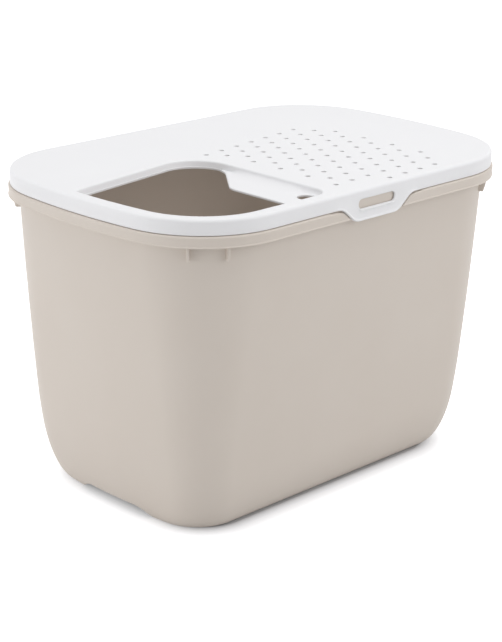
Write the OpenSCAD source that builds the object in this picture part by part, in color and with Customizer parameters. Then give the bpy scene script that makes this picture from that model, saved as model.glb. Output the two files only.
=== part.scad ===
// Top entry litter box: a deep drafted tub with a stepped rim, and a lid that drops over the rim.
// The lid has a stepped-down entry tray with the opening in it, a field of litter-catching holes,
// and a slotted pull tab on each long side.
// Origin: centre of the footprint, on the floor. X runs along the length, Z is up.

/* [Lid outline] */
// Length of the lid over its skirt
lid_l = 585; // [550:1:620]
// Width of the lid over its skirt
lid_w = 390; // [370:1:415]
// Radius of the outline's four corners
corner_r = 115; // [100:1:125]
// Radius of the slow bow of the two short sides
end_r = 800; // [700:10:1200]
// Height of the lid's top face above the floor
top_z = 392.5; // [370:0.5:420]

/* [Mouldings] */
// Wall thickness of the lid and of the tub
wall = 2.5; // [2.2:0.1:3]
// Upright gap between the seated lid and the rim
seat_gap = 0.3; // [0.2:0.05:0.6]
// Sideways gap between the seated lid and the rim
side_gap = 0.5; // [0.3:0.05:0.8]

/* [Lid] */
// Height of the lid's skirt
skirt_h = 18.5; // [16:0.5:24]
// Radius of the lid's upper edge
edge_r = 4; // [3:0.25:6]
// Radius inside the lid's upper edge
inner_edge_r = 1.5; // [1:0.1:2.5]

/* [Entry tray] */
// Distance from the lid's outline to the tray's upper edge
tray_margin = 18.5; // [17:0.5:24]
// Radius of the tray's near left corner
tray_corner_r = 88; // [70:1:95]
// Depth of the tray below the lid's top face
tray_depth = 7.5; // [7:0.5:12]
// Distance that the tray's walls lean inwards over their height
tray_lean = 1.5; // [1:0.1:3]
// Radius of the tray's upper edge
tray_edge_r = 4; // [2:0.25:5]
// Place along X of the tray's inboard edge
tray_x = -62; // [-80:1:-50]
// Place along Y of the tray's back edge, at the tray's far left
tray_back_y = 16.5; // [0:0.5:20]
// Angle of the tray's back edge to the X axis
tray_back_angle = 8.8; // [6:0.2:12]
// Radius of the tray's back left corner
tray_left_r = 8; // [7:0.5:12]
// Radius of the tray's back right corner
tray_back_r = 46; // [36:1:54]
// Radius of the tray's near right corner
tray_near_r = 15; // [12:0.5:20]

/* [Entry opening] */
// Width of the lip that the tray's walls leave round the opening
opening_lip = 0.6; // [0.4:0.1:2.5]
// Width of the step ledge beside the opening
ledge_w = 53.5; // [44:0.5:64]
// Distance along Y from the origin to the bend where the ledge widens
ledge_bend_y = 73; // [60:1:90]
// Distance along Y from the origin to the ledge's pointed end
ledge_tip_y = 12; // [6:1:24]
// Radius of the ledge's bend
ledge_bend_r = 40; // [30:1:50]
// Radius of the ledge's pointed end
ledge_tip_r = 16; // [10:1:20]
// Radius of the ledge's near corner
ledge_near_r = 7; // [5:0.5:10]
// Diameter of the drain hole at the ledge's near end
drain_d = 22; // [10:1:24]
// Distance of the drain hole from the tray's inboard and near edges
drain_inset = 18; // [17:0.5:22]

/* [Litter holes] */
// Diameter of a litter hole
hole_d = 6; // [4:0.5:8]
// Distance between holes along a row
hole_pitch = 29.8; // [26:0.2:30]
// Distance between the first rows
row_pitch = 24.5; // [22:0.1:25]
// Loss of row distance over the rows
row_tighten = 0.115; // [0.05:0.005:0.2]
// Number of rows
rows = 11; // [3:2:11]
// Place along X of the first column
hole_x = -34.3; // [-36:0.1:-20]
// Place along Y of the first row
hole_y = -178; // [-178:0.5:-160]
// Bow of the columns along X
hole_bow = 6.5; // [0:0.5:10]
// Slope of the first row
row_slope = 0.068; // [0:0.001:0.08]
// Growth of the slope over the rows
row_fan = 0.0007; // [0:0.0001:0.001]

/* [Pull tabs] */
// Length of a tab's straight lower edge, between the points where its sides would meet it
tab_l = 74; // [70:1:100]
// Distance that each side of a tab slopes out up to the skirt
tab_splay = 23; // [16:0.5:26]
// Radius where a tab's side meets the skirt's lower edge
tab_root_r = 20; // [12:1:24]
// Distance from the skirt's lower edge to the tab's lower edge
tab_drop = 19; // [16:0.5:22]
// Radius of a tab's lower corners
tab_r = 22; // [12:1:25]
// Length of the slot in a tab
slot_l = 62; // [50:1:68]
// Height of the slot in a tab
slot_h = 11; // [9:0.5:13]
// Radius of the slot's corners
slot_r = 5; // [2:0.5:5]
// Distance from the tab's lower edge to the slot
slot_up = 14.6; // [12:0.1:15]
// Gap between a tab's sides and the recess that it hangs in
tab_gap = 1.2; // [0.8:0.1:2]

/* [Rim] */
// Distance that the rim's apron stands out from the lid's skirt
apron_out = 1.2; // [0.6:0.1:2]
// Height of the rim's apron
apron_h = 13.7; // [12:0.1:16]
// Further flare of the apron's lower edge
apron_bead = 0.5; // [0.4:0.1:1]

/* [Tub] */
// Inset of the tub's wall from the lid's outline, at the top
rim_in = 7.4; // [7:0.1:12]
// Sideways draft of the tub's walls for each millimetre of height
draft = 0.094; // [0.06:0.002:0.1]
// Radius of the wall's corners at the rim's height
wall_corner_r = 114; // [108:1:120]
// Radius of the tub's corners at the foot
foot_corner_r = 54; // [45:1:60]
// Distance that the short sides turn in at the foot
toe_end = 20; // [16:0.5:24]
// Height over which the short sides turn in
toe_end_h = 119; // [100:1:130]
// Distance that the long sides turn in at the foot
toe_side = 22; // [16:0.5:24]
// Height over which the long sides turn in
toe_side_h = 68; // [55:1:80]
// Height of the tub's inside floor
floor_z = 15; // [14:0.5:18]
// Radius between the tub's floor and its walls
floor_r = 9; // [6:0.5:12]

/* [Finger gaps] */
// Length of the full height of a finger gap under a short side
gap_l = 66; // [50:1:80]
// Length of the curved run at each end of a finger gap
gap_run = 33; // [20:1:36]
// Height of a finger gap
gap_h = 11.5; // [8:0.25:11.5]

/* [Corner ribs] */
// Angle of the first rib at each corner, from the X axis
rib_angle = 40; // [32:1:45]
// Angle between a corner's two ribs
rib_spread = 23.5; // [20:0.5:34]
// Thickness of a rib
rib_t = 2.2; // [1.6:0.1:3]
// Distance that a rib reaches below the apron's shoulder
rib_h = 31; // [20:0.5:36]

/* [Hidden] */
$fn = 96;

plastic = [0.94, 0.94, 0.95];
bin_plastic = [0.8, 0.77, 0.745];

// Heights of the seat, worked out downwards from the lid's top face
plate_z = top_z - wall;
rim_z = plate_z - seat_gap;
skirt_z = top_z - skirt_h;
shoulder_z = skirt_z - seat_gap;
apron_z = shoulder_z - apron_h;
tray_z = top_z - tray_depth;
tab_z = skirt_z - tab_drop;

// Distances out from the lid's outline: negative is inwards
step_out = -wall - side_gap;

// The bow of a short side is an arc about this point of the X axis, whatever its inset
bow_x = lid_l / 2 - end_r;

corner_steps = 14;
bow_steps = 6;

// Outline of half lengths a and b with corners of radius r, as points that run anticlockwise
function corner_centre(a, b, r) = [bow_x + sqrt(pow(a - bow_x - r, 2) - pow(b - r, 2)), b - r];
function bow_half_angle(a, b, r) = asin((b - r) / (a - bow_x - r));
function quarter(a, b, r) = let (c = corner_centre(a, b, r), t0 = bow_half_angle(a, b, r))
    [for (i = [0:corner_steps]) let (t = t0 + (90 - t0) * i / corner_steps)
        [c.x + r * cos(t), c.y + r * sin(t)]];
function bow(a, b, r) = let (t0 = bow_half_angle(a, b, r))
    [for (i = [1:bow_steps - 1]) let (t = t0 * (2 * i / bow_steps - 1))
        [bow_x + (a - bow_x) * cos(t), (a - bow_x) * sin(t)]];
function flip_x(points) = [for (i = [len(points) - 1:-1:0]) [-points[i].x, points[i].y]];
function flip_y(points) = [for (i = [len(points) - 1:-1:0]) [points[i].x, -points[i].y]];
function turn(points) = [for (p = points) -p];
function outline(a, b, r) = let (q = quarter(a, b, r), e = bow(a, b, r))
    concat(q, flip_x(q), turn(e), turn(q), flip_y(q), e);

// The lid's outline moved outwards by u
function lid_outline(u) = outline(lid_l / 2 + u, lid_w / 2 + u, corner_r + u);

// A closed solid through a list of rings of equal length, each ring a list of 3D points
module skin(rings) {
    n = len(rings[0]);
    last = len(rings) - 1;
    sides = [for (i = [0:last - 1], j = [0:n - 1]) let (k = (j + 1) % n)
        each [[i * n + j, (i + 1) * n + j, (i + 1) * n + k], [i * n + j, (i + 1) * n + k, i * n + k]]];
    caps = [[for (j = [0:n - 1]) j], [for (j = [n - 1:-1:0]) last * n + j]];
    polyhedron([for (r = rings) each r], concat(sides, caps), convexity = 10);
}

function lift(points, z) = [for (p = points) [p.x, p.y, z]];

// Points of a closed path through corners [x, y, r], each corner an arc that touches both sides
function unit(v) = v / norm(v);
function side(c, i) = let (n = len(c), p = c[(i + n) % n], q = c[(i + 1) % n]) unit([q.x - p.x, q.y - p.y]);
function turn_angle(c, i) = let (u = side(c, i - 1), v = side(c, i)) atan2(u.x * v.y - u.y * v.x, u * v);
function corner_arc(c, i, steps) =
    let (u = side(c, i - 1), t = turn_angle(c, i), s = sign(t), r = c[i][2])
    let (start = [c[i].x, c[i].y] - u * r * tan(abs(t) / 2))
    let (centre = start + s * r * [-u.y, u.x], a0 = atan2(u.y, u.x) - 90 * s)
        [for (k = [0:steps]) centre + r * [cos(a0 + t * k / steps), sin(a0 + t * k / steps)]];
function rounded(c, steps = 8) = [for (i = [0:len(c) - 1]) each corner_arc(c, i, steps)];

// The same corners moved inwards by d, with the radii that keep the path parallel
function inset(c, d) = [for (i = [0:len(c) - 1])
    let (u = side(c, i - 1), v = side(c, i), t = turn_angle(c, i), n = [-u.y, u.x], m = [-v.y, v.x])
    let (p = [c[i].x, c[i].y] + (n + m) * d / (1 + n * m))
        [p.x, p.y, c[i][2] - sign(t) * d]];

// Tub wall: half lengths and corner radius at height z
function toe(z, reach, h) = z < h ? reach * (1 - sqrt(1 - pow(1 - z / h, 2))) : 0;
function half_l(z) = lid_l / 2 - rim_in - draft * (rim_z - z) - toe(z, toe_end, toe_end_h);
function half_w(z) = lid_w / 2 - rim_in - draft * (rim_z - z) - toe(z, toe_side, toe_side_h);
function wall_r(z) = foot_corner_r + (wall_corner_r - foot_corner_r) * pow(z / rim_z, 1.5);
function wall_ring(z, d = 0) = lift(outline(half_l(z) - d, half_w(z) - d, wall_r(z) - d), z);
function rim_ring(u, z) = lift(lid_outline(u), z);

// Heights of the rings of the tub's wall, closer together where the toe turns in
foot_steps = [1, 3, 6.5];
toe_steps = [for (k = [0:5]) floor_z + (toe_side_h - floor_z) * pow(k / 5, 1.4)];
wall_steps = [for (k = [0:7]) toe_end_h * 0.8 + (apron_z - toe_end_h * 0.8) * k / 7];
outer_steps = concat(foot_steps, toe_steps, wall_steps);

underside_z = floor_z - wall - 0.4;
foot_t = wall + 0.6;

module tub_shell() {
    underside = [wall_ring(underside_z, foot_t + 2), wall_ring(underside_z - 2, foot_t)];
    foot = [wall_ring(3, foot_t), wall_ring(0, foot_t - 0.4), wall_ring(0, 0)];
    outside = [for (z = outer_steps) wall_ring(z)];
    hook = [
        wall_ring(shoulder_z - wall - 1.5),
        rim_ring(-rim_in, shoulder_z - wall),
        rim_ring(apron_out - wall - 1, shoulder_z - wall),
        rim_ring(apron_out - wall, shoulder_z - wall - 1),
        rim_ring(apron_out - wall + apron_bead / 2, apron_z)];
    apron = [
        rim_ring(apron_out + apron_bead - 0.5, apron_z),
        rim_ring(apron_out + apron_bead, apron_z + 0.6),
        rim_ring(apron_out + apron_bead, apron_z + 1.8),
        rim_ring(apron_out + apron_bead / 2, apron_z + 2.6),
        rim_ring(apron_out, shoulder_z - 1),
        rim_ring(apron_out - 1, shoulder_z),
        rim_ring(step_out + 0.5, shoulder_z)];
    step = [
        rim_ring(step_out, shoulder_z + 0.5),
        rim_ring(step_out, rim_z - 1.2),
        rim_ring(step_out - 0.4, rim_z - 0.4),
        rim_ring(step_out - 1.2, rim_z),
        rim_ring(step_out - wall + 0.6, rim_z),
        rim_ring(step_out - wall, rim_z - 0.6),
        rim_ring(step_out - wall, shoulder_z + 2)];
    inside_low = toe_side_h * 0.7;
    inside = concat(
        [wall_ring(shoulder_z - wall - 1.5, wall)],
        [for (i = [len(wall_steps) - 1:-1:0]) wall_ring(wall_steps[i], wall)],
        [wall_ring(toe_side_h, wall), wall_ring(inside_low, wall)]);
    bowl = [for (k = [0:4]) let (t = 90 * k / 4)
        wall_ring(floor_z + floor_r * (1 - sin(t)), wall + floor_r * (1 - cos(t)))];
    skin(concat(underside, foot, outside, hook, apron, step, inside, bowl));
}

// Raised run of the foot under a short side, high enough for fingers
module finger_gap() {
    steps = 10;
    half = gap_l / 2;
    rise = [for (k = [0:steps]) let (t = k / steps) [half + gap_run * (1 - t), gap_h * (1 - cos(180 * t)) / 2]];
    fall = [for (k = [steps:-1:0]) [-rise[k].x, rise[k].y]];
    near = half_l(0) - foot_t - 12;
    translate([near, 0, 0])
        rotate([90, 0, 90])
            linear_extrude(lid_l / 2 - near)
                polygon(concat([[half + gap_run, -1]], rise, fall, [[-half - gap_run, -1]]));
}

// Distance from the centre of the lid's corner to the tub's wall, along a ray at an angle
function wall_reach(z, angle) =
    let (r = wall_r(z), d = [cos(angle), sin(angle)])
    let (c = corner_centre(half_l(z), half_w(z), r) - corner_centre(lid_l / 2, lid_w / 2, corner_r))
        c * d + sqrt(r * r - c * c + pow(c * d, 2));

// Upright rib between the tub's corner and the underside of the rim's shoulder
module corner_rib(angle) {
    centre = corner_centre(lid_l / 2, lid_w / 2, corner_r);
    foot_z = shoulder_z - rib_h;
    head_z = shoulder_z - wall / 2;
    reach = corner_r + step_out;
    translate([centre.x, centre.y, 0])
        rotate([90, 0, angle])
            translate([0, 0, -rib_t / 2])
                linear_extrude(rib_t)
                    polygon([
                        [wall_reach(foot_z, angle) - wall / 2, foot_z],
                        [reach - 5, foot_z],
                        [reach, foot_z + 7],
                        [reach, head_z],
                        [wall_reach(head_z, angle) - wall / 2, head_z]]);
}

// Outline of a pull tab in X and Z, grown by a gap, with its head above the skirt's lower edge
function tab_outline(gap, head) =
    let (x = tab_l / 2, root = x + tab_splay, low = tab_z - gap, side_z = skirt_z - gap)
    let (half = [[x + gap / 2, low, tab_r + gap], [root + gap / 2, side_z, tab_root_r - gap],
        [root + tab_root_r, side_z, 0.5], [root + tab_root_r, head, 0.5]])
        rounded(concat(half, [for (i = [len(half) - 1:-1:0]) [-half[i].x, half[i].y, half[i][2]]]));

// Prism on the +Y side through an outline in X and Z, between two distances out from the lid's outline
module side_prism(points, from, to) {
    translate([0, lid_w / 2 + to, 0])
        rotate([90, 0, 0]) linear_extrude(to - from) polygon(points);
}

// Thickening behind the apron that becomes the back and the sides of a pull tab's recess
module recess_block() {
    half = tab_l / 2 + tab_splay + tab_root_r;
    low = apron_z + 0.6;
    high = shoulder_z - wall / 2;
    side_prism([[-half, low], [half, low], [half, high], [-half, high]], step_out - wall, apron_out - wall / 2);
}

module tub() {
    color(bin_plastic)
        difference() {
            union() {
                tub_shell();
                for (my = [0, 1]) mirror([0, my, 0]) recess_block();
                for (mx = [0, 1], my = [0, 1], k = [0, 1])
                    mirror([mx, 0, 0]) mirror([0, my, 0]) corner_rib(rib_angle + rib_spread * k);
            }
            for (mx = [0, 1]) mirror([mx, 0, 0]) finger_gap();
            for (my = [0, 1]) mirror([0, my, 0])
                side_prism(tab_outline(tab_gap, skirt_z), step_out - 0.1, apron_out + 2);
        }
}

// The lid's plate and skirt: under the plate, down inside the skirt, round its edge and over the top
module lid_shell() {
    inner = [for (k = [4:-1:0]) let (t = 22.5 * k)
        rim_ring(-wall - inner_edge_r * (1 - cos(t)), plate_z - inner_edge_r * (1 - sin(t)))];
    outer = [for (k = [0:6]) let (t = 15 * k)
        rim_ring(-edge_r * (1 - cos(t)), top_z - edge_r * (1 - sin(t)))];
    skin(concat(inner, [rim_ring(-wall, skirt_z), rim_ring(0, skirt_z)], outer));
}

// Corners of the tray's upper edge: back left, the bowed side, near left, near right, back right
bow_r = end_r - tray_margin;
near_y = -lid_w / 2 + tray_margin;
left_x = -lid_l / 2 + tray_margin;
function back_y(x) = tray_back_y + (x - left_x) * tan(tray_back_angle);
tray_corners =
    let (c = corner_centre(-left_x, -near_y, tray_corner_r), t = bow_half_angle(-left_x, -near_y, tray_corner_r))
    let (m = (90 + t) / 2, reach = tray_corner_r / cos((90 - t) / 2)) [
        [left_x, back_y(left_x), tray_left_r],
        [left_x, -bow_r * tan(t / 2), bow_r],
        [-c.x - reach * cos(m), -c.y - reach * sin(m), tray_corner_r],
        [tray_x, near_y, tray_near_r],
        [tray_x, back_y(tray_x), tray_back_r]];

function tray_ring(d, z) = lift(rounded(inset(tray_corners, d)), z);

// Space of the tray: its floor, the leaning walls and the rounded upper edge
module tray_space() {
    edge = [for (k = [4:-1:0]) let (t = 22.5 * k)
        tray_ring(-tray_edge_r * (1 - sin(t)), top_z - tray_edge_r * (1 - cos(t)))];
    skin(concat([tray_ring(tray_lean, tray_z)], edge, [tray_ring(-tray_edge_r, top_z + 1)]));
}

// The tray's outside: the same walls a wall thickness further out and down
module tray_shell() {
    skin([
        tray_ring(tray_lean, tray_z - wall),
        tray_ring(tray_lean - wall + 0.8, tray_z - wall + 0.8),
        tray_ring(tray_lean - wall, tray_z + 1),
        tray_ring(-wall, plate_z),
        tray_ring(-wall, plate_z + wall / 2)]);
}

// Corners of the entry opening: it follows the tray round, and leaves the step ledge inboard
opening_corners =
    let (c = inset(tray_corners, tray_lean + opening_lip), ledge_x = tray_x - ledge_w) [
        c[0], c[1], c[2],
        [ledge_x, c[3].y, ledge_near_r],
        [ledge_x, -ledge_bend_y, ledge_bend_r],
        [c[4].x, -ledge_tip_y, ledge_tip_r],
        c[4]];

module entry_opening() {
    translate([0, 0, tray_z - wall - 1])
        linear_extrude(wall + 2) polygon(rounded(opening_corners));
}

module drain_hole() {
    translate([tray_x - drain_inset, near_y + drain_inset, tray_z - wall - 1])
        cylinder(d = drain_d, h = wall + 2);
}

// Place of litter hole k in row j: rows fan out and draw together, columns bow
bow_row = 5.5;
function hole_at(j, k) = let (x = hole_x + hole_pitch * k + hole_bow * (1 - pow((j - bow_row) / 5, 2)))
    [x, hole_y + row_pitch * j - row_tighten * j * j + (row_slope + row_fan * j * j) * (x - 60)];
function first_hole(j) = j == 0 ? 2.5 : j == rows - 1 ? -0.5 : j % 2 == 1 ? 0 : 0.5;
function last_hole(j) = j == 0 || j == rows - 1 ? 5.5 : j % 2 == 1 ? 6 : 6.5;

module litter_holes() {
    for (j = [0:rows - 1], k = [first_hole(j):last_hole(j)]) {
        p = hole_at(j, k);
        translate([p.x, p.y, plate_z - 1]) cylinder(d = hole_d, h = wall + 2, $fn = 24);
    }
}

module pull_tab() {
    side_prism(tab_outline(0, skirt_z + wall), -wall + 0.1, 0.1);
}

module tab_slot() {
    x = slot_l / 2;
    z = tab_z + slot_up;
    side_prism(
        rounded([[-x, z, slot_r], [x, z, slot_r], [x, z + slot_h, slot_r], [-x, z + slot_h, slot_r]]),
        -wall - 1, 1);
}

module lid() {
    color(plastic)
        difference() {
            union() {
                lid_shell();
                tray_shell();
                for (my = [0, 1]) mirror([0, my, 0]) pull_tab();
            }
            tray_space();
            entry_opening();
            drain_hole();
            litter_holes();
            for (my = [0, 1]) mirror([0, my, 0]) tab_slot();
        }
}

tub();
lid();
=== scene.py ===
"""A top entry litter box: a warm grey tub and a white lid that drops over its rim.

Shapes are worked out in millimetres, and turned into metres where a mesh is made. u is a distance out
from the lid's outline, seen from above, and negative inwards. z is a height above the floor.
"""
import math

import bmesh
import bpy
import numpy as np
from mathutils import Matrix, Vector
from mathutils.geometry import delaunay_2d_cdt


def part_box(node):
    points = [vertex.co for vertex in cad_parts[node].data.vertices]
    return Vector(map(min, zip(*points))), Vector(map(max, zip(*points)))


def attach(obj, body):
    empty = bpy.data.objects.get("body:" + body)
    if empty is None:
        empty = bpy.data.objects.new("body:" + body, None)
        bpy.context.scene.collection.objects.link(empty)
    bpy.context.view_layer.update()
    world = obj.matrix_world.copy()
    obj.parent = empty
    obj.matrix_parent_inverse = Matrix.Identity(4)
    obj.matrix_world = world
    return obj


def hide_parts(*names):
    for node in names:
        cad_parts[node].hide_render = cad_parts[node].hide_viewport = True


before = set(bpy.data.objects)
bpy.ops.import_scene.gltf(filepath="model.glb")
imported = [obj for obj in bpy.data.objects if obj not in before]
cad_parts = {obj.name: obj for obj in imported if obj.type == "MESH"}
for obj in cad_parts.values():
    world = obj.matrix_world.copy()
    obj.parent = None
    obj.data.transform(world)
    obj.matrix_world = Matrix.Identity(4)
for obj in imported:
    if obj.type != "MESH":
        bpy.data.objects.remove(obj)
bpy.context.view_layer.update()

MM = 0.001

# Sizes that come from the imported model
lid_low, lid_high = (np.array(corner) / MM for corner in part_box("lid"))
LENGTH = lid_high[0] - lid_low[0]
TOP_Z = lid_high[2]

# Both mouldings: thickness, gaps between the two, outline, the lid's edges, and steps between mesh rows
WALL = 2.5
SEAT_GAP = 0.3
SIDE_GAP = 0.5
CORNER_R = 115.0
END_R = 800.0
BOW_X = LENGTH / 2 - END_R
EDGE_R = 4.0
INNER_EDGE_R = 1.5
SKIRT_H = 18.5
LIP_R = 1.0
FLAT_STEP = 0.5
RUN_STEP = 3.0

# Rim and pull tabs: heights hang from the lid's top, and widths are half widths from the tab's middle
TAB_PROUD = 0.1
WIDTH = lid_high[1] - lid_low[1] - 2 * TAB_PROUD
PLATE_Z = TOP_Z - WALL
RIM_Z = PLATE_Z - SEAT_GAP
SKIRT_Z = TOP_Z - SKIRT_H
SEAM = 0.6
SHOULDER_Z = SKIRT_Z - SEAM
APRON_H = 13.4
APRON_Z = SHOULDER_Z - APRON_H
APRON_OUT = 1.6
APRON_BEAD = 0.7
STEP_OUT = -WALL - SIDE_GAP
PANEL_X = 84.0
TAB_HALF = 37.0
TAB_SPLAY = 23.0
TAB_ROOT = TAB_HALF + TAB_SPLAY
TAB_ROOT_R = 20.0
TAB_R = 22.0
TAB_DROP = 19.0
TAB_Z = SKIRT_Z - TAB_DROP
TAB_GAP = 1.2
TAB_GAP_TIGHT = 0.5
TAB_LIP_R = 1.5
TAB_BEAD = 1.5
SLOT_HALF = 31.0
SLOT_H = 11.0
SLOT_R = 5.0
SLOT_UP = 14.6
SLOT_Z = TAB_Z + SLOT_UP
SLOT_LIP_R = 1.7
SLOT_BEAD = 1.1
BEAD_ROWS = np.array([2.4, 1.8, 1.2, 0.6])
DIP = 0.9
DIP_X = (78.0, 81.0)

# Tray and opening: the tray runs from the lid's -X end to TRAY_X, and the ledge in it starts at LEDGE_X
TRAY_MARGIN = 18.5
TRAY_CORNER_R = 88.0
TRAY_LEAN = 1.5
TRAY_DEPTH = 7.5
TRAY_Z = TOP_Z - TRAY_DEPTH
TRAY_LOW_Z = TRAY_Z - WALL
TRAY_EDGE_R = 3.0
TRAY_X = -62.0
TRAY_BACK_Y = 16.5
TRAY_BACK_ANGLE = math.radians(8.8)
TRAY_LEFT_R = 8.0
TRAY_BACK_R = 46.0
TRAY_NEAR_R = 21.0
OPENING_LIP = 0.6
OPENING_EASE, LEDGE_EASE = 0.35, 1.2
LEDGE_W = 54.5
LEDGE_X = TRAY_X - LEDGE_W
LEDGE_BEND_Y = -70.5
LEDGE_BEND_R = 26.0
LEDGE_TIP_Y = -8.5
LEDGE_TIP_R = 46.0
LEDGE_NEAR_R = 19.0
DRAIN_R = 10.2
DRAIN_EASE, DRAIN_LOW_EASE = 0.7, 0.4
DRAIN_X = TRAY_X - 17.5
DRAIN_Y = -WIDTH / 2 + TRAY_MARGIN + 20.0
FILLET_RUN, FILLET_RUN_AT_DRAIN = 22.0, 5.0
FILLET_X = (LEDGE_X + 0.5, LEDGE_X + 18.5)
FILLET_BACK_Y = (-14.0, -54.0)
FILLET_DRAIN_Y = (DRAIN_Y + 14.5, DRAIN_Y + 39.5)

# Litter holes: rows run along X and are counted from the -Y side, and their slopes turn about ROW_MIDDLE_X
HOLE_R = 3.4
HOLE_EASE = 0.35
HOLE_MARGIN = 0.6
HOLE_PITCH = 29.8
ROW_PITCH = 24.5
ROW_TIGHTEN = 0.115
ROWS = 11
HOLE_X = -34.3
HOLE_Y = -178.0
HOLE_BOW = 6.5
BOW_ROW = 5.5
BOW_SPAN = 5.0
ROW_MIDDLE_X = 60.0
ROW_SLOPE = 0.068
ROW_FAN = 0.0007

# Tub: outer wall, floor, foot ring, finger gaps under the short sides, and ribs at the corners
RIM_IN = 7.4
DRAFT = 0.094
WALL_CORNER_R = 114.0
FOOT_CORNER_R = 54.0
TOE_END, TOE_END_H = 20.0, 119.0
TOE_SIDE, TOE_SIDE_H = 22.0, 68.0
FLOOR_Z = 15.0
FLOOR_R = 9.0
UNDERSIDE_Z = 12.1
FOOT_T = 3.1
FOOT_IN_R, FOOT_OUT_R = 0.7, 0.9
FIRST_ROW_Z, CLOSE_ROWS_Z = 1.2, 101.2
GAP_HALF, GAP_RUN, GAP_H = 33.0, 33.0, 11.5
GAP_FREE_Z = 40.0
RIB_ANGLES = (40.0, 63.5)
RIB_OUT = 1.5
RIB_SLANT = 4.5
RIB_T = 3.0
RIB_H = 31.0
RIB_EASE = 1 / 9

# Stage, in metres
# Painted contact shadow on the floor: its centre, how far in from the lid's outline it starts, its reach and
# the power of its rise
PAINTED_SHADOW_CENTRE = (-0.005, -0.012, 0)
PAINTED_SHADOW_IN_X, PAINTED_SHADOW_IN_Y = 0.081, 0.07
PAINTED_SHADOW_REACH = 0.043
PAINTED_SHADOW_POWER = 0.6
LAMP_AIM = (0, 0, 0.2)


def smooth(t):
    """0 below 0, 1 above 1, and three t squared less two t cubed between."""
    t = np.clip(t, 0, 1)
    return t * t * (3 - 2 * t)


def ramp(v, start, end):
    """0 before the start and 1 past the end, with a smooth rise between; the end may be the lower one."""
    return smooth((v - start) / (end - start))


# Mesh making

class Skin:
    """Gathers points and faces, in millimetres, and turns them into one smooth closed mesh."""

    def __init__(self):
        self.points, self.faces, self.count = [], [], 0

    def add(self, points, faces):
        """Adds points and faces of four points; a face that ends on the same point twice is a triangle."""
        self.points.append(points)
        self.faces.append(faces + self.count)
        self.count += len(points)

    def strip(self, grid, closed=True):
        """Quads between the rows of a grid of points, which it returns; closed joins each row's two ends."""
        rows, n = grid.shape[:2]
        j = np.arange(n if closed else n - 1)
        k = (j + 1) % n
        base = n * np.arange(rows - 1)[:, None]
        quads = np.stack([base + j, base + k, base + n + k, base + n + j], axis=-1)
        self.add(grid.reshape(-1, 3), quads.reshape(-1, 4))
        return grid

    def cap(self, ring):
        """A fan from a ring's middle point, for the flat middle of a floor or of a rib's face."""
        n = len(ring)
        j = np.arange(n)
        fan = np.stack([j, (j + 1) % n, np.full(n, n), np.full(n, n)], axis=-1)
        self.add(np.vstack([ring, ring.mean(axis=0)]), fan)

    def sheet(self, loops, lift):
        """Triangles between closed loops of flat points, which a function then lifts into space.

        The constrained triangulation fills the loops' hull, and only triangles whose middle is inside an odd
        number of loops stay.
        """
        ends = np.cumsum([0] + [len(loop) for loop in loops]).tolist()
        edges = [(a + i, a + (i + 1) % (b - a)) for a, b in zip(ends, ends[1:]) for i in range(b - a)]
        verts, _, tris, _, _, _ = delaunay_2d_cdt(np.vstack(loops).tolist(), edges, [], 0, 1e-6)
        verts = np.array([tuple(v) for v in verts])
        tris = np.array(tris)
        middle = verts[tris].mean(axis=1)
        tris = tris[sum(inside(loop, middle) for loop in loops) % 2 == 1]
        self.add(lift(verts), np.column_stack([tris, tris[:, 2]]))

    def build(self, name):
        """The mesh as an object: points that meet are merged and the faces turned outwards."""
        points = np.vstack(self.points) * MM
        faces = [face[:3] if face[2] == face[3] else face for face in np.vstack(self.faces).tolist()]
        mesh = bpy.data.meshes.new(name)
        mesh.from_pydata(points.tolist(), [], faces)
        bm = bmesh.new()
        bm.from_mesh(mesh)
        bmesh.ops.remove_doubles(bm, verts=bm.verts, dist=2e-6)
        bmesh.ops.recalc_face_normals(bm, faces=bm.faces)
        bm.to_mesh(mesh)
        bm.free()
        mesh.shade_smooth()
        piece = bpy.data.objects.new(name, mesh)
        bpy.context.scene.collection.objects.link(piece)
        return piece


def inside(loop, points):
    """1 where a point is inside a closed loop: it has an odd number of the loop's edges to its right."""
    a, b = loop, np.roll(loop, -1, axis=0)
    px, py = points[:, :1], points[:, 1:2]
    crosses = (a[:, 1] > py) != (b[:, 1] > py)
    rise = np.where(b[:, 1] == a[:, 1], 1.0, b[:, 1] - a[:, 1])
    x = a[:, 0] + (py - a[:, 1]) * (b[:, 0] - a[:, 0]) / rise
    return (crosses & (px < x)).sum(axis=1) % 2


def rounded(corners, steps=10, closed=True):
    """Points and left-hand normals of a path through corners (x, y, radius).

    Each corner is an arc that touches both its sides. An open path keeps its first and last corner sharp.
    """
    c = np.array(corners, float)
    n = len(c)
    steps = np.broadcast_to(steps, n)
    points, normals = [], []
    for i in range(n):
        u = c[i, :2] - c[i - 1, :2]
        v = c[(i + 1) % n, :2] - c[i, :2]
        u, v = u / np.linalg.norm(u), v / np.linalg.norm(v)
        if not closed and i in (0, n - 1):
            d = v if i == 0 else u
            points.append(c[i:i + 1, :2])
            normals.append(np.array([[-d[1], d[0]]]))
            continue
        turn = math.atan2(u[0] * v[1] - u[1] * v[0], u @ v)
        side = math.copysign(1, turn)
        centre = c[i, :2] - u * c[i, 2] * math.tan(abs(turn) / 2) + side * c[i, 2] * np.array([-u[1], u[0]])
        angle = math.atan2(u[1], u[0]) - side * math.pi / 2 + turn * np.linspace(0, 1, steps[i] + 1)
        out = np.column_stack([np.cos(angle), np.sin(angle)])
        points.append(centre + c[i, 2] * out)
        normals.append(-side * out)
    return np.vstack(points), np.vstack(normals)


def denser(points, normals, gap, closed=False):
    """The same path with points added at even shares of the runs that are longer than the gap."""
    run = np.roll(points, -1, axis=0) - points
    if not closed:
        run[-1] = 0
    n = np.maximum(1, (np.linalg.norm(run, axis=1) / gap).astype(int))
    start = np.repeat(np.arange(len(points)), n)
    share = (np.arange(len(start)) - np.repeat(np.cumsum(n) - n, n)) / n[start]
    return points[start] + run[start] * share[:, None], normals[start]


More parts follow.
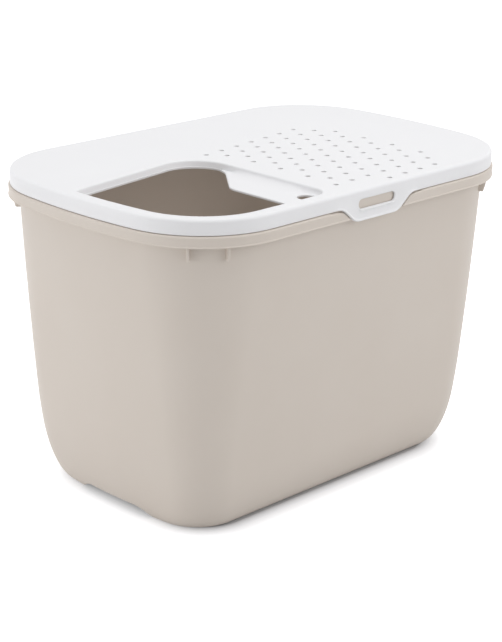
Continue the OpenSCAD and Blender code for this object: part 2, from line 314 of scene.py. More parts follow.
def inset(corners, d):
    """The same corners moved to the left of the path by d, with radii that keep the path parallel."""
    c = np.array(corners, float)
    u = c[:, :2] - np.roll(c[:, :2], 1, axis=0)
    u /= np.linalg.norm(u, axis=1, keepdims=True)
    v = np.roll(u, -1, axis=0)
    n, m = np.column_stack([-u[:, 1], u[:, 0]]), np.column_stack([-v[:, 1], v[:, 0]])
    move = (n + m) * (d / (1 + (n * m).sum(axis=1, keepdims=True)))
    turn = np.sign(u[:, 0] * v[:, 1] - u[:, 1] * v[:, 0])
    return np.column_stack([c[:, :2] + move, c[:, 2] - turn * d])


# Outline, walked round from the +X end

BOW, ARC, SIDE = range(3)


def stations(bow_n, arc_n, side_x):
    """Kind, place and mirror signs of each point round an outline.

    A quarter runs along half a bowed end, round a corner, and along half a side. A place is a fraction of the
    bow or of the corner, or the side's X itself. The other quarters are mirror images of the first.
    """
    kind = np.concatenate([np.full(bow_n, BOW), np.full(arc_n + 1, ARC), np.full(len(side_x), SIDE)])
    part = np.concatenate([np.arange(bow_n) / bow_n, np.arange(arc_n + 1) / arc_n, side_x])
    q = np.arange(len(kind))
    order = np.concatenate([q, q[::-1][1:], q[1:], q[::-1][1:-1]])
    quarter = np.concatenate([q * 0, q[1:] * 0 + 1, q[1:] * 0 + 2, q[1:-1] * 0 + 3])
    sx = np.array([1, -1, -1, 1])[quarter]
    sy = np.array([1, 1, -1, -1])[quarter]
    return kind[order], part[order], sx, sy


def walk(path, a, b, r, z):
    """Points at height z of outlines with half lengths a and b and corner radius r, at a path's stations.

    Along an end: a circle about BOW_X on the X axis. Round a corner: a circle of radius r that touches that
    one and the side. Along a side: y is b.
    """
    kind, part, sx, sy = path
    a, b, r, z, part = np.broadcast_arrays(a, b, r, z, part)
    reach = a - BOW_X
    cx = BOW_X + np.sqrt((reach - r) ** 2 - (b - r) ** 2)
    join = np.arcsin((b - r) / (reach - r))
    t = np.where(kind == BOW, join * part, join + (np.pi / 2 - join) * part)
    x = np.where(kind == BOW, BOW_X + reach * np.cos(t), np.where(kind == ARC, cx + r * np.cos(t), part))
    y = np.where(kind == BOW, reach * np.sin(t), np.where(kind == ARC, b - r + r * np.sin(t), b))
    return np.stack([x * sx, y * sy, z], axis=-1)


def corner_centre(a, b, r):
    """Centre of the corner arc of an outline with half lengths a and b and corner radius r."""
    return np.array([BOW_X + math.sqrt((a - BOW_X - r) ** 2 - (b - r) ** 2), b - r])


LID_CENTRE = corner_centre(LENGTH / 2, WIDTH / 2, CORNER_R)


def lid_rings(path, section):
    """The lid's outline moved out by u and put at height z, for each (u, z) of a section."""
    u, z = np.array(section, float).T[:, :, None]
    return walk(path, LENGTH / 2 + u, WIDTH / 2 + u, CORNER_R + u, z + 0 * path[1])


def arc(cx, cz, r, start, end, steps):
    """Points (u, z) of a circle's arc about (cx, cz), from a start to an end angle in degrees."""
    t = np.radians(np.linspace(start, end, steps + 1))
    return np.column_stack([cx + r * np.cos(t), cz + r * np.sin(t)])


# Tub

def toe(z, reach, height):
    """How far a wall turns in at height z: a quarter ellipse that starts at the given height."""
    t = np.clip(1 - z / height, 0, 1)
    return reach * (1 - np.sqrt(1 - t * t))


def wall_size(z):
    """Half length, half width and corner radius of the tub's outer wall at height z.

    The sides are drafted and turn in at their toes, and the corners widen with the height to the power 1.5.
    """
    a = LENGTH / 2 - RIM_IN - DRAFT * (RIM_Z - z) - toe(z, TOE_END, TOE_END_H)
    b = WIDTH / 2 - RIM_IN - DRAFT * (RIM_Z - z) - toe(z, TOE_SIDE, TOE_SIDE_H)
    return a, b, FOOT_CORNER_R + (WALL_CORNER_R - FOOT_CORNER_R) * (z / RIM_Z) ** 1.5


def tub_wall(path, z, d):
    """The tub's outer wall at height z, moved inwards by d."""
    a, b, r = wall_size(z)
    return walk(path, a - d, b - d, r - d, z)


def tab_corners(gap, head):
    """Corners of half a pull tab's outline in X and Z, grown by a gap, from its lower end to a head."""
    return [
        (0, TAB_Z - gap, 0),
        (TAB_HALF + gap / 2, TAB_Z - gap, TAB_R + gap),
        (TAB_ROOT + gap / 2, SKIRT_Z - gap, TAB_ROOT_R - gap),
        (TAB_ROOT + TAB_ROOT_R, SKIRT_Z - gap, 0.5),
        (TAB_ROOT + TAB_ROOT_R, head, 0)]


def recess_half(z):
    """Half the width, at height z, of the recess that a pull tab hangs in."""
    side, _ = rounded(tab_corners(TAB_GAP, SKIRT_Z)[:4], steps=16, closed=False)
    return np.interp(z, side[1:-1, 1], side[1:-1, 0])


def tub_path():
    """Stations round the tub, with numbered places along its sides that at_rows turns into X.

    Number 0 is at a side's middle, 1 at the recess's edge, 2 and 3 just outside it, 4 beyond the tab's roots
    and 5 at the corner.
    """
    return stations(bow_n=48, arc_n=32, side_x=np.concatenate([
        np.linspace(start, start - 1, steps + 1)[1:]
        for start, steps in ((5, 8), (4, 8), (3, 3), (2, 4), (1, 12))]))


def at_rows(path, z):
    """The tub's path with its side stations set for the recess's width at each row's height.

    Each stretch between two numbers is a straight share. The recess's +X half is a little narrower.
    """
    kind, part, sx, sy = path
    tighter = np.where(sx > 0, TAB_GAP - TAB_GAP_TIGHT, 0)
    edge = recess_half(np.clip(z, APRON_Z, SHOULDER_Z))[:, None] - tighter
    places = [0, edge, edge + 0.8, edge + 4, 90, 163]
    x = sum((end - start) * np.clip(part - i, 0, 1) for i, (start, end) in enumerate(zip(places, places[1:])))
    return kind, np.where(kind == SIDE, x, part), sx, sy


def wall_rows(path, z, d, free=GAP_FREE_Z):
    """Rows of the tub's wall at heights z, moved inwards by d.

    At each short side's middle the foot's edge is lifted by GAP_H, and it comes down along an S curve over
    GAP_RUN. The rows above it are pressed together evenly, up to the free height.
    """
    z, d = np.array(z, float)[:, None], np.array(d, float)[:, None]
    foot_y = np.abs(tub_wall(at_rows(path, np.zeros(1)), 0.0, 0.0)[0, :, 1])
    lift = np.where(path[0] == BOW, GAP_H * (1 - ramp(foot_y, GAP_HALF, GAP_HALF + GAP_RUN)), 0)
    high = z + lift * np.clip(1 - z / free, 0, 1)
    return tub_wall(at_rows(path, z[:, 0]), high, d)


def outside_rows(path):
    """Rows from the underside, down inside the foot ring, round its two lower edges and up the outer wall."""
    under_z = [UNDERSIDE_Z] * 3 + [UNDERSIDE_Z - 0.8, UNDERSIDE_Z - 2.5, 5.0, 2.5]
    under_d = [FOOT_T + 4, FOOT_T + 2, FOOT_T + 1.2, FOOT_T + 0.3, FOOT_T, FOOT_T, FOOT_T]
    t = np.radians(np.linspace(0, 90, 6))
    foot_z = np.concatenate([FOOT_IN_R * (1 - np.sin(t)), FOOT_OUT_R * (1 - np.cos(t))])
    foot_d = np.concatenate([FOOT_T - FOOT_IN_R * (1 - np.cos(t)), FOOT_OUT_R * (1 - np.sin(t))])
    wall_z = np.concatenate([
        FIRST_ROW_Z + (CLOSE_ROWS_Z - FIRST_ROW_Z) * np.linspace(0, 1, 31) ** 1.5,
        np.linspace(CLOSE_ROWS_Z, SHOULDER_Z - WALL - 2.6, 19)[1:]])
    return np.concatenate([
        wall_rows(path, under_z, under_d, UNDERSIDE_Z),
        wall_rows(path, foot_z, foot_d),
        wall_rows(path, wall_z, 0 * wall_z)])


def rim_section():
    """Points (u, z) of the rim's section, from corners in u, z and radius.

    It runs out under the shoulder, down inside the apron and up its face, in over the shoulder, up and over
    the collar, and down to the wall's inside.
    """
    hook, hook_n = rounded([
        (-RIM_IN - 1.8, SHOULDER_Z - WALL - 1.6, 0),
        (-RIM_IN - 0.9, SHOULDER_Z - WALL, 1.2),
        (APRON_OUT - WALL, SHOULDER_Z - WALL, 1.2),
        (APRON_OUT - WALL + 0.3, APRON_Z, 0.5),
        (APRON_OUT + APRON_BEAD, APRON_Z, 0.7),
        (APRON_OUT + APRON_BEAD, APRON_Z + 1.0, 0.5),
        (APRON_OUT, APRON_Z + 2.3, 0.8),
        (APRON_OUT + 0.6, SHOULDER_Z, 2.2),
        (STEP_OUT, SHOULDER_Z, 0.8),
        (STEP_OUT, RIM_Z, 1.2),
        (STEP_OUT - WALL, RIM_Z, 0.8),
        (STEP_OUT - WALL, SHOULDER_Z + 2.4, 4.0),
        (-RIM_IN - WALL - 1.6, SHOULDER_Z - 4.4, 0)], steps=5, closed=False)
    return denser(hook, hook_n, gap=1.6)[0]


def rim_rows(path):
    """The rim's section carried round the lid's outline.

    Behind a tab the apron is pressed in. Its face comes out again between the side's numbers 1 and 2, and its
    back between 2 and 3. Between the tab's roots the shoulder dips.
    """
    kind, part = path[:2]
    side = kind == SIDE
    hook = rim_section()
    u, z = hook[:, :1], hook[:, 1:]
    along = np.cumsum(np.hypot(*np.diff(hook, axis=0, prepend=hook[:1]).T))[:, None]
    lowest, highest = along[np.argmin(z)], along[np.argmax(z)]
    front = ramp(along, lowest - 1.0, lowest + 1.5)
    pressed = (1 - front) * np.minimum(u, STEP_OUT - WALL) + front * np.minimum(u, STEP_OUT - 0.1)
    back_in, face_in = 1 - ramp(part, 2, 3), 1 - ramp(part, 1, 2)
    share = np.where(side, (1 - front) * back_in + front * face_in, 0) * (along < highest - 12.0)
    x = at_rows(path, np.array([SHOULDER_Z]))[1][0]
    dip = np.where(side, DIP * (1 - ramp(x, *DIP_X)), 0) * (along > lowest - 1.0)
    dip = dip * ramp(z, SHOULDER_Z - 3, SHOULDER_Z - 0.5) * ramp(z, SHOULDER_Z + 1.2, SHOULDER_Z + 0.4)
    out = u + (pressed - u) * share
    return walk(at_rows(path, hook[:, 1]), LENGTH / 2 + out, WIDTH / 2 + out, CORNER_R + out, z - dip)


def inside_rows(path):
    """Rows down the wall's inside, round its foot and onto the floor, which the finger gaps don't lift."""
    t = np.radians(np.linspace(0, 90, 6))[1:]
    wall_z = np.concatenate([
        np.linspace(SHOULDER_Z - 6, CLOSE_ROWS_Z, 20),
        np.linspace(CLOSE_ROWS_Z, FLOOR_Z + FLOOR_R - 1, 14)[1:]])
    z = np.concatenate([wall_z, FLOOR_Z + FLOOR_R * (1 - np.sin(t)), [FLOOR_Z]])
    d = np.concatenate([WALL + 0 * wall_z, WALL + FLOOR_R * (1 - np.cos(t)), [WALL + FLOOR_R + 1]])
    return wall_rows(path, z, d, free=FLOOR_Z)


def make_tub():
    """The tub as one closed surface: up the outside, over the rim, down the inside, and a cap at each end."""
    path = tub_path()
    rows = np.concatenate([outside_rows(path), rim_rows(path), inside_rows(path)])
    skin = Skin()
    skin.strip(rows)
    skin.cap(rows[0])
    skin.cap(rows[-1])
    return skin.build("tub_moulding")


def wall_reach(z, angle):
    """Distance from the centre of the lid's corner to the tub's wall at height z, along a ray at an angle.

    The wall's corner is a circle of radius r about c, and the distance s along the ray d solves
    |s d - c| = r.
    """
    a, b, r = wall_size(z)
    c = corner_centre(a, b, r) - LID_CENTRE
    d = np.array([math.cos(angle), math.sin(angle)])
    return c @ d + math.sqrt(r * r - c @ c + (c @ d) ** 2)


def make_ribs():
    """Two upright ribs at each corner: a flat outline from the wall out to the hook, with rounded faces."""
    low, high = SHOULDER_Z - RIB_H, SHOULDER_Z - WALL / 2
    reach = CORNER_R + STEP_OUT + RIB_OUT
    skin = Skin()
    for degrees in RIB_ANGLES:
        angle = math.radians(degrees)
        side, _ = rounded([
            (wall_reach(low, angle) - WALL / 2, low, 0.2),
            (reach - RIB_SLANT, low, 1.5),
            (reach - 2.0, low + 9, 3.0),
            (reach, high, 0.2),
            (wall_reach(high, angle) - WALL / 2, high, 0.2)], steps=4)
        middle = side.mean(axis=0)
        t = np.radians(np.linspace(-90, 90, 9))[:, None, None]
        flat = middle + (side - middle) * (1 - RIB_EASE * (1 - np.cos(t)))
        out, along = flat[..., :1], RIB_T / 2 * np.sin(t)
        c, s = math.cos(angle), math.sin(angle)
        block = np.concatenate([out * c - along * s, out * s + along * c, flat[..., 1:]], axis=-1)
        block += [*LID_CENTRE, 0]
        for sx in (1, -1):
            for sy in (1, -1):
                copy = block * [sx, sy, 1]
                skin.strip(copy)
                skin.cap(copy[0])
                skin.cap(copy[-1])
    return skin.build("corner_ribs")


# Lid

def tray_corners():
    """Corners of the tray's upper edge: back left, bowed end, near left, near right and back right."""
    left, near = -LENGTH / 2 + TRAY_MARGIN, -WIDTH / 2 + TRAY_MARGIN
    r, bow_r = TRAY_CORNER_R, END_R - TRAY_MARGIN
    cx, cy = corner_centre(-left, -near, r)
    join = math.asin(cy / (bow_r - r))
    middle, reach = (math.pi / 2 + join) / 2, r / math.cos((math.pi / 2 - join) / 2)
    back_right = TRAY_BACK_Y + (TRAY_X - left) * math.tan(TRAY_BACK_ANGLE)
    return [
        (left, TRAY_BACK_Y, TRAY_LEFT_R),
        (left, -bow_r * math.tan(join / 2), bow_r),
        (-cx - reach * math.cos(middle), -cy - reach * math.sin(middle), r),
        (TRAY_X, near, TRAY_NEAR_R),
        (TRAY_X, back_right, TRAY_BACK_R)]


def opening_corners():
    """Corners of the entry opening: inside the tray's wall all round, but for the step ledge inboard."""
    c = inset(tray_corners(), TRAY_LEAN + OPENING_LIP)
    return np.vstack([
        c[:3],
        (LEDGE_X, c[3, 1], LEDGE_NEAR_R),
        (LEDGE_X, LEDGE_BEND_Y, LEDGE_BEND_R),
        (c[4, 0], LEDGE_TIP_Y, LEDGE_TIP_R),
        c[4]])


def hole_places():
    """Places of the litter holes: rows fan out and draw together, and their columns bow.

    The rows start and end by turns half a pitch apart, and the first and the last row are shorter.
    """
    places = []
    for j in range(ROWS):
        first = 2.5 if j == 0 else -0.5 if j == ROWS - 1 else 0 if j % 2 else 0.5
        last = 5.5 if j in (0, ROWS - 1) else 6 if j % 2 else 6.5
        k = np.arange(first, last + 0.25)
        x = HOLE_X + HOLE_PITCH * k + HOLE_BOW * (1 - ((j - BOW_ROW) / BOW_SPAN) ** 2)
        y = HOLE_Y + ROW_PITCH * j - ROW_TIGHTEN * j * j + (ROW_SLOPE + ROW_FAN * j * j) * (x - ROW_MIDDLE_X)
        places.append(np.column_stack([x, y]))
    return np.vstack(places)


def circle(steps):
    """A unit circle of points."""
    t = np.linspace(0, 2 * np.pi, steps, endpoint=False)
    return np.column_stack([np.cos(t), np.sin(t)])


def at_height(z):
    """A lift that puts flat points at one height."""
    return lambda flat: np.column_stack([flat, np.full(len(flat), z)])


def raise_rows(points, normals, d, z):
    """Rows of a path moved along its normals by d and put at height z.

    There is one row for each d and z, and each of these is one number, or one for every point of the path.
    """
    shape = len(d), len(points)
    d, z = (np.broadcast_to(np.array(v, float).reshape(len(v), -1), shape)[..., None] for v in (d, z))
    return np.concatenate([points + normals * d, z], axis=-1)


def lip(r_front, r_back, bead, steps=6):
    """Section round a sheet's free edge: distance across from its middle, and distance back from its edge.

    The face first swells into a bead, and a quarter turn at the front and one at the back close the edge.
    """
    t = np.radians(np.linspace(0, 90, steps + 1))[:, None]
    swell = BEAD_ROWS[:, None]
    across = np.concatenate([
        WALL / 2 + bead * smooth(1 - swell / BEAD_ROWS[0]),
        WALL / 2 - r_front + (r_front + bead) * np.cos(t),
        r_back - WALL / 2 - r_back * np.cos(t)[::-1]])
    back = np.concatenate([r_front + swell, r_front - r_front * np.sin(t), r_back - r_back * np.sin(t)[::-1]])
    return across, back


def add_tab_panel(skin, side, top_x, skirt_rows):
    """The stretch of skirt with a pull tab: front and back sheets, its lower lip, and the lip of its slot."""
    half = tab_corners(0, 0)[1:3]
    edge, edge_n = rounded(
        [(-PANEL_X, SKIRT_Z, 0)] + [(-x, z, r) for x, z, r in half[::-1]] + half + [(PANEL_X, SKIRT_Z, 0)],
        steps=14, closed=False)
    x, low, high = SLOT_HALF, SLOT_Z, SLOT_Z + SLOT_H
    slot, slot_n = rounded([(-x, low, SLOT_R), (x, low, SLOT_R), (x, high, SLOT_R), (-x, high, SLOT_R)])
    edge, edge_n = denser(edge, edge_n, RUN_STEP)
    slot, slot_n = denser(slot, slot_n, RUN_STEP, closed=True)
    on_tab = ramp(np.abs(edge[:, 0]), TAB_ROOT + 18, TAB_ROOT + 2)
    rows = skirt_rows[::-1][1:-1]
    top = np.column_stack([top_x[::-1], np.full(len(top_x), skirt_rows[0])])

    def lift(across):
        """A lift that stands flat points up on this side of the lid, out from the sheet's middle."""
        y = side * (WIDTH / 2 - WALL / 2 + across)
        return lambda flat: np.column_stack([flat[:, 0], np.broadcast_to(y, len(flat)), flat[:, 1]])

    def add_face(across, edge_back, slot_back, rows):
        """One face of the panel, inside its edge's and its slot's lips."""
        right = np.column_stack([np.full(len(rows), PANEL_X), rows])
        rim = np.vstack([edge + edge_n * edge_back, right, top, right[::-1] * [-1, 1]])
        skin.sheet([rim, slot - slot_n * slot_back], lift(across))

    lip_r = LIP_R + (TAB_LIP_R - LIP_R) * on_tab
    add_face(WALL / 2, lip_r[:, None] + BEAD_ROWS[0], SLOT_LIP_R + BEAD_ROWS[0], rows[len(BEAD_ROWS):])
    add_face(-WALL / 2, LIP_R, LIP_R, rows)
    for path, normal, r, bead, closed in (
            (edge, edge_n, lip_r, TAB_BEAD * on_tab, False),
            (slot, -slot_n, SLOT_LIP_R * np.ones(len(slot)), SLOT_BEAD * smooth(slot_n[:, 1]), True)):
        across, back = lip(r, LIP_R * np.ones(len(path)), bead)
        skin.strip(np.array([lift(a)(path + normal * b[:, None]) for a, b in zip(across, back)]), closed)


def add_edges(skin, path):
    """The lid's rounded upper edge, and the edge inside it between the plate and the skirt."""
    over = np.vstack([[-EDGE_R - FLAT_STEP, TOP_Z], arc(-EDGE_R, TOP_Z - EDGE_R, EDGE_R, 90, 0, 8)])
    under = np.vstack([
        arc(-WALL - INNER_EDGE_R, PLATE_Z - INNER_EDGE_R, INNER_EDGE_R, 0, 90, 5),
        [-WALL - INNER_EDGE_R - FLAT_STEP, PLATE_Z]])
    return skin.strip(lid_rings(path, over)), skin.strip(lid_rings(path, under))


def add_skirt(skin, path, tab_x):
    """The skirt: its section carried round the two ends, and a tab panel on each long side between them."""
    low = SKIRT_Z + LIP_R
    skirt_rows = np.concatenate([
        np.linspace(TOP_Z - EDGE_R, low + BEAD_ROWS[0], 8)[:-1], low + BEAD_ROWS, [low]])
    across, back = (side[len(BEAD_ROWS):, 0] for side in lip(np.array([LIP_R]), np.array([LIP_R]), 0))
    section = np.vstack([
        np.column_stack([0 * skirt_rows, skirt_rows])[:-1],
        np.column_stack([across - WALL / 2, SKIRT_Z + back]),
        np.column_stack([0 * skirt_rows - WALL, skirt_rows[::-1]])[1:]])
    skirt = lid_rings(path, section)
    x = skirt[0, :, 0]
    for sign in (1, -1):
        run = np.flatnonzero(sign * x > PANEL_X - 0.01)
        jumps = np.flatnonzero(np.diff(run) > 1)
        start = jumps[0] + 1 if len(jumps) else 0
        skin.strip(skirt[:, np.roll(run, -start)], closed=False)
    for side in (1, -1):
        add_tab_panel(skin, side, np.concatenate([-tab_x, tab_x[::-1][1:]]), skirt_rows)


def tray_edge():
    """Points and normals of the tray's upper edge, seen from above."""
    return denser(*rounded(tray_corners(), steps=(14, 40, 36, 20, 32)), RUN_STEP, closed=True)


def add_tray(skin):
    """The tray's inside, and its outside from the plate's underside down to its own.

    The upper edge's arc ends where the wall's line from its foot touches it. The fillet between wall and
    ledge is a quadratic curve about the wall's foot, and opens out beside the ledge.
    """
    tray, tray_n = tray_edge()
    foot = np.array([TRAY_EDGE_R + TRAY_LEAN, TRAY_EDGE_R - TRAY_DEPTH])
    meet = math.degrees(math.atan2(foot[1], foot[0]) + math.acos(TRAY_EDGE_R / np.linalg.norm(foot)))
    curve = arc(-TRAY_EDGE_R, TOP_Z - TRAY_EDGE_R, TRAY_EDGE_R, 90, meet, 8)
    lean = (TRAY_LEAN - curve[-1, 0]) / (curve[-1, 1] - TRAY_Z)
    beside_ledge = ramp(tray[:, 0], *FILLET_X) * ramp(tray[:, 1], *FILLET_BACK_Y)
    past_drain = ramp(tray[:, 1], *FILLET_DRAIN_Y)
    run = 0.1 + beside_ledge * (FILLET_RUN_AT_DRAIN + (FILLET_RUN - FILLET_RUN_AT_DRAIN) * past_drain)
    rise = np.minimum(run, curve[-1, 1] - TRAY_Z - 0.2)
    t = np.linspace(0, 1, 8)[:, None]
    fillet_d = TRAY_LEAN - (1 - t) ** 2 * lean * rise + t * t * run
    fillet_z = TRAY_Z + (1 - t) ** 2 * rise
    flank = np.vstack([[-TRAY_EDGE_R - FLAT_STEP, TOP_Z], curve])[:, :, None] + np.zeros(len(tray))
    inner = raise_rows(tray, tray_n, np.vstack([flank[:, 0], fillet_d]), np.vstack([flank[:, 1], fillet_z]))
    out = TRAY_LEAN - WALL
    shell_d = [-WALL - 1.0, -WALL - 0.3, -WALL, out, out + 0.3, out + 1.1, TRAY_LEAN - 0.3]
    shell_z = [PLATE_Z, PLATE_Z, PLATE_Z - 0.4, TRAY_Z, TRAY_LOW_Z + 1.0, TRAY_LOW_Z, TRAY_LOW_Z]
    return skin.strip(inner), skin.strip(raise_rows(tray, tray_n, shell_d, shell_z))


def through_tray(points, normals, r, low_r):
    """Rows round a hole through the tray's floor: a quarter turn of radius r above and of low_r below."""
    t = np.radians(np.linspace(0, 90, 6))[:, None]
    r, low_r = (np.broadcast_to(v, len(points)) for v in (r, low_r))
    high, low = TRAY_Z + 0 * r, TRAY_LOW_Z + 0 * r
    d = np.vstack([-r - 0.05, -r * (1 - np.sin(t)), -low_r * (1 - np.cos(t)), -low_r - 0.05])
    z = np.vstack([high, high - r * (1 - np.cos(t)), low + low_r * (1 - np.sin(t)), low])
    return raise_rows(points, normals, d, z)


def add_opening(skin):
    """The entry opening's edge, rounder where it is away from the tray's walls and crosses the ledge."""
    steps = (14, 40, 36, 12, 20, 16, 32)
    edge, edge_n = denser(*rounded(opening_corners(), steps), RUN_STEP, closed=True)
    away = np.linalg.norm(edge[:, None] - tray_edge()[0], axis=2).min(axis=1)
    r = OPENING_EASE + (LEDGE_EASE - OPENING_EASE) * ramp(away, 3.5, 8.5)
    return skin.strip(through_tray(edge, edge_n, r, OPENING_EASE))


def add_drain(skin):
    """The round drain hole in the ledge."""
    unit = circle(40)
    edge = unit * DRAIN_R + [DRAIN_X, DRAIN_Y]
    return skin.strip(through_tray(edge, -unit, DRAIN_EASE, DRAIN_LOW_EASE))


def add_litter_holes(skin):
    """The round litter holes through the plate, each eased at the top by most of a quarter turn."""
    unit = circle(28)
    t = np.radians([0, 36, 72])
    d = np.concatenate([[-HOLE_MARGIN], -HOLE_EASE * (1 - np.sin(t)), [0, 0]])
    z = np.concatenate([[TOP_Z], TOP_Z - HOLE_EASE * (1 - np.cos(t)), [PLATE_Z + 0.6, PLATE_Z]])
    return [skin.strip(raise_rows(place + unit * HOLE_R, -unit, d, z)) for place in hole_places()]


def make_lid():
    """The lid as one closed surface: its parts, and the flat faces between their first and last rings."""
    skin = Skin()
    tab_x = np.linspace(PANEL_X, 0, 29)
    beside_tab_x = np.linspace(LID_CENTRE[0], PANEL_X, 12)[1:-1]
    path = stations(bow_n=40, arc_n=44, side_x=np.concatenate([beside_tab_x, tab_x]))
    over, under = add_edges(skin, path)
    add_skirt(skin, path, tab_x)
    tray, shell = add_tray(skin)
    opening, drain, holes = add_opening(skin), add_drain(skin), add_litter_holes(skin)
    for z, rings in (
            (TOP_Z, [over[0], tray[0]] + [hole[0] for hole in holes]),
            (PLATE_Z, [under[-1], shell[0]] + [hole[-1] for hole in holes]),
            (TRAY_Z, [tray[-1], opening[0], drain[0]]),
            (TRAY_LOW_Z, [shell[-1], opening[-1], drain[-1]])):
        skin.sheet([ring[:, :2] for ring in rings], at_height(z))
    return skin.build("lid_moulding")


# Materials

def srgb(r, g, b):
    """A written colour as linear light, with full alpha."""
    v = np.array([r, g, b]) / 255
    return (*np.where(v <= 0.04045, v / 12.92, ((v + 0.055) / 1.055) ** 2.4).tolist(), 1.0)


def calculate(nodes, links, operation, first, second):
    """The result of a maths node on an output and either another output or a number."""
    step = nodes.new("ShaderNodeMath")
    step.operation = operation
    links.new(first, step.inputs[0])
    if isinstance(second, bpy.types.NodeSocket):
        links.new(second, step.inputs[1])
    else:
        step.inputs[1].default_value = second
    return step.outputs[0]


def moulded_plastic(name, colour, tint, roughness, grain):
    """Satin moulded plastic: a faint cloudy tint, a little uneven gloss and a very fine grain."""
    material = bpy.data.materials.new(name)
    material.use_nodes = True
    nodes, links = material.node_tree.nodes, material.node_tree.links
    shader = nodes["Principled BSDF"]
    place = nodes.new("ShaderNodeTexCoord")
    cloud = nodes.new("ShaderNodeTexNoise")
    cloud.inputs["Scale"].default_value = 9.0
    cloud.inputs["Detail"].default_value = 3.0
    links.new(place.outputs["Object"], cloud.inputs["Vector"])
    mix = nodes.new("ShaderNodeMix")
    mix.data_type = "RGBA"
    mix.inputs["A"].default_value = colour
    mix.inputs["B"].default_value = tint
    links.new(cloud.outputs["Fac"], mix.inputs["Factor"])
    links.new(mix.outputs["Result"], shader.inputs["Base Color"])
    gloss = nodes.new("ShaderNodeMapRange")
    gloss.inputs["To Min"].default_value = roughness - 0.04
    gloss.inputs["To Max"].default_value = roughness + 0.04
    links.new(cloud.outputs["Fac"], gloss.inputs["Value"])
    links.new(gloss.outputs["Result"], shader.inputs["Roughness"])
    fine = nodes.new("ShaderNodeTexNoise")
    fine.inputs["Scale"].default_value = 900.0
    fine.inputs["Detail"].default_value = 2.0
    links.new(place.outputs["Object"], fine.inputs["Vector"])
    bump = nodes.new("ShaderNodeBump")
    bump.inputs["Strength"].default_value = grain
    bump.inputs["Distance"].default_value = 0.0002
    links.new(fine.outputs["Fac"], bump.inputs["Height"])
    links.new(bump.outputs["Normal"], shader.inputs["Normal"])
    shader.inputs["IOR"].default_value = 1.49
    shader.inputs["Specular IOR Level"].default_value = 0.35
    return material


def dress(piece, material, body, slot, *nodes):
    """Gives a piece its material and body, and hides the CAD nodes that it stands for; the slot is not used.
    """
    piece.data.materials.append(material)
    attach(piece, body)
    if nodes:
        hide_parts(*nodes)


# Camera, floor and light

def towards(azimuth, elevation):
    """The direction at an azimuth, turned from -Y towards +X, and an elevation, both in radians."""
    flat = math.cos(elevation)
    return np.array([math.sin(azimuth) * flat, -math.cos(azimuth) * flat, math.sin(elevation)])


def placed(right, up, back, place):
    """A matrix with the given axes at the given place."""
    matrix = np.eye(4)
    matrix[:3] = np.column_stack([right, up, back, place])
    return Matrix(matrix.tolist())


def make_camera():
    """The photograph's view: azimuth, elevation and roll about a point, and the distance from it."""
    azimuth, elevation, roll = (math.radians(v) for v in (-45.26, 19.12, 1.02))
    target, distance, focal_px, long_side_px = np.array([0, 0.00632, 0.1758]), 2.27169, 1798.71, 642
    back = towards(azimuth, elevation)
    right = np.cross(-back, [0, 0, 1])
    right /= np.linalg.norm(right)
    up = np.cross(right, -back)
    right, up = (math.cos(roll) * right + math.sin(roll) * up, -math.sin(roll) * right + math.cos(roll) * up)
    camera = bpy.data.objects.new("camera", bpy.data.cameras.new("camera"))
    camera.data.sensor_width = 36
    camera.data.lens = focal_px * 36 / long_side_px
    camera.data.clip_start, camera.data.clip_end = 0.05, 50
    camera.matrix_world = placed(right, up, back, target + back * distance)
    bpy.context.scene.collection.objects.link(camera)
    bpy.context.scene.camera = camera


def seen_white(nodes, links):
    """1 for rays that see the background as the camera does: camera, glossy and transmission rays."""
    rays = nodes.new("ShaderNodeLightPath").outputs
    seen = calculate(nodes, links, "MAXIMUM", rays["Is Camera Ray"], rays["Is Glossy Ray"])
    return calculate(nodes, links, "MAXIMUM", seen, rays["Is Transmission Ray"])


def make_world(level):
    """White where it is seen, and an even grey light on the object."""
    world = bpy.data.worlds.new("studio")
    bpy.context.scene.world = world
    world.use_nodes = True
    nodes, links = world.node_tree.nodes, world.node_tree.links
    shader = nodes["Background"]
    shader.inputs["Color"].default_value = (1, 1, 1, 1)
    strength = nodes.new("ShaderNodeMapRange")
    strength.inputs["To Min"].default_value = level
    strength.inputs["To Max"].default_value = 1.0
    links.new(seen_white(nodes, links), strength.inputs["Value"])
    links.new(strength.outputs["Result"], shader.inputs["Strength"])


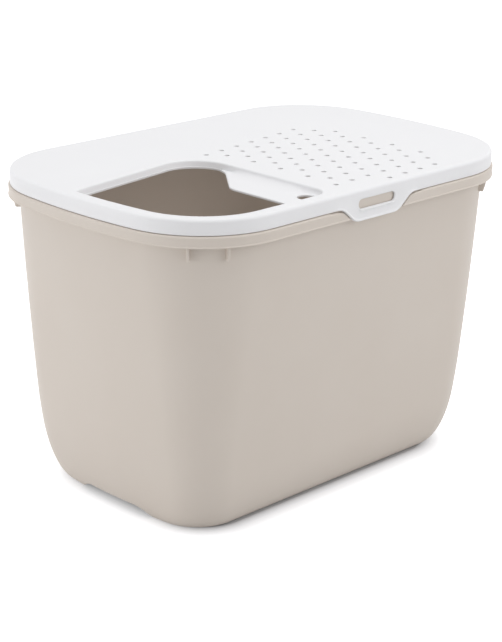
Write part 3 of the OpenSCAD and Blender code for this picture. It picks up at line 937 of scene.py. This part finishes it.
def make_floor(glow):
    """A wide pale floor that takes the object's shadow, and a painted shadow round the tub's foot.

    Where it is seen it has a glow, which is low at the tub's foot and grows over the first centimetres away:
    this dip in the glow is painted shadow, laid over the real shade from the lamps.
    The distance to the foot is the length of the part of |place| that is beyond the foot's straight runs,
    less its corner radius.
    """
    half = 12.0
    mesh = bpy.data.meshes.new("floor")
    mesh.from_pydata(
        [(-half, -half, 0), (half, -half, 0), (half, half, 0), (-half, half, 0)], [], [(0, 1, 2, 3)])
    floor = bpy.data.objects.new("floor", mesh)
    bpy.context.scene.collection.objects.link(floor)
    material = bpy.data.materials.new("pale_floor")
    material.use_nodes = True
    nodes, links = material.node_tree.nodes, material.node_tree.links
    shader = nodes["Principled BSDF"]
    shader.inputs["Roughness"].default_value = 1.0
    shader.inputs["Specular IOR Level"].default_value = 0.0
    shader.inputs["Emission Color"].default_value = (1, 1, 1, 1)
    seen = seen_white(nodes, links)
    paint = nodes.new("ShaderNodeMix")
    paint.data_type = "RGBA"
    paint.inputs["A"].default_value = (0.7, 0.7, 0.7, 1)
    paint.inputs["B"].default_value = (0.55, 0.55, 0.57, 1)
    links.new(seen, paint.inputs["Factor"])
    links.new(paint.outputs["Result"], shader.inputs["Base Color"])
    place = nodes.new("ShaderNodeTexCoord").outputs["Object"]
    foot_r = FOOT_CORNER_R * MM
    straight = LENGTH / 2 * MM - PAINTED_SHADOW_IN_X - foot_r, WIDTH / 2 * MM - PAINTED_SHADOW_IN_Y - foot_r, 0
    for operation, other in (
            ("SUBTRACT", PAINTED_SHADOW_CENTRE),
            ("ABSOLUTE", None),
            ("SUBTRACT", straight),
            ("MAXIMUM", (0, 0, 0)),
            ("LENGTH", None)):
        step = nodes.new("ShaderNodeVectorMath")
        step.operation = operation
        links.new(place, step.inputs[0])
        if other:
            step.inputs[1].default_value = other
        place = step.outputs["Value" if operation == "LENGTH" else "Vector"]
    # Painted contact shadow: the glow is nothing at the foot's edge and rises to full over the reach, on top
    # of the real shade
    level = nodes.new("ShaderNodeMapRange")
    level.inputs["From Min"].default_value = foot_r
    level.inputs["From Max"].default_value = foot_r + PAINTED_SHADOW_REACH
    level.inputs["To Max"].default_value = 1.0
    links.new(place, level.inputs["Value"])
    value = level.outputs["Result"]
    for operation, other in (("POWER", PAINTED_SHADOW_POWER), ("MULTIPLY", glow), ("MULTIPLY", seen)):
        value = calculate(nodes, links, operation, value, other)
    links.new(value, shader.inputs["Emission Strength"])
    mesh.materials.append(material)


def make_lamp(name, azimuth, elevation, distance, width, height, watts):
    """A soft lamp that looks at the object from an azimuth and elevation in degrees."""
    lamp = bpy.data.objects.new(name, bpy.data.lights.new(name, "AREA"))
    lamp.data.shape = "RECTANGLE"
    lamp.data.size, lamp.data.size_y = width, height
    lamp.data.energy = watts
    back = towards(math.radians(azimuth), math.radians(elevation))
    right = np.cross([0, 0, 1], back)
    right /= np.linalg.norm(right)
    lamp.matrix_world = placed(right, np.cross(back, right), back, LAMP_AIM + back * distance)
    bpy.context.scene.collection.objects.link(lamp)


def make_inner_light(watts):
    """A soft light in the tub, for the daylight that its thin walls let through."""
    lamp = bpy.data.objects.new("inner_light", bpy.data.lights.new("inner_light", "POINT"))
    lamp.data.shadow_soft_size = 0.1
    lamp.data.energy = watts
    lamp.location = (0, -0.02, 0.18)
    lamp.visible_camera = False
    lamp.visible_glossy = False
    bpy.context.scene.collection.objects.link(lamp)


make_camera()
make_world(level=0.48)
make_floor(glow=0.9)
make_lamp("left", azimuth=-114, elevation=1, distance=3.0, width=2.4, height=0.5, watts=25.5)
make_lamp("right", azimuth=23, elevation=20, distance=3.0, width=2.2, height=2.2, watts=21)
make_lamp("overhead", azimuth=0, elevation=88, distance=3.0, width=3.0, height=3.0, watts=46)
make_inner_light(watts=0.27)

tub_plastic = moulded_plastic(
    "tub_plastic", srgb(221, 212, 203), srgb(217, 207, 197), roughness=0.5, grain=0.12)
lid_plastic = moulded_plastic(
    "lid_plastic", srgb(242, 242, 244), srgb(240, 240, 242), roughness=0.42, grain=0.08)

dress(make_tub(), tub_plastic, "tub", "tub_plastic", "tub")
dress(make_ribs(), tub_plastic, "tub", "tub_plastic")
dress(make_lid(), lid_plastic, "lid", "lid_plastic", "lid")

scene = bpy.context.scene
scene.view_settings.view_transform = "Standard"
